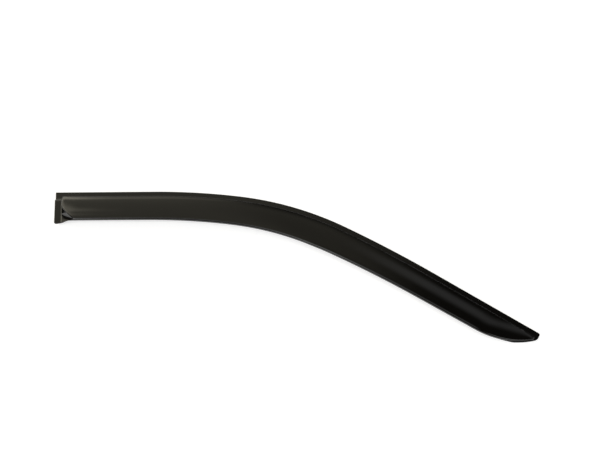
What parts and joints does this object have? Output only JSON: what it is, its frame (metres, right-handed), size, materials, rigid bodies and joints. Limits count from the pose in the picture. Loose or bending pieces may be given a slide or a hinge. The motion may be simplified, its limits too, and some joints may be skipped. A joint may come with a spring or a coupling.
{
  "type": "window rain deflector",
  "caption": "Curved smoke-acrylic rain deflector for a right-hand front car window, with a taped top flange, convex face, rolled lip, closed rear end with tab, and tapered tip.",
  "frame": {"origin": "on the adhesive face of the top tape, where the centre lines of the top tape and of the rear tab's tape cross", "axes": "+X forward along the car, along the straight rear run of the top edge; +Y up the door; +Z out from the glass, so the part lies on its tape with the outer face up"},
  "size_m": [0.896, 0.2969, 0.022],
  "materials": {
    "smoke_acrylic": "polished",
    "foam_tape": "matt, cut edges"
  },
  "bodies": {
    "root": {"deflector_shell": "smoke_acrylic", "top_flange_tape": "foam_tape", "rear_tab_tape": "foam_tape"}
  },
  "joints": []
}
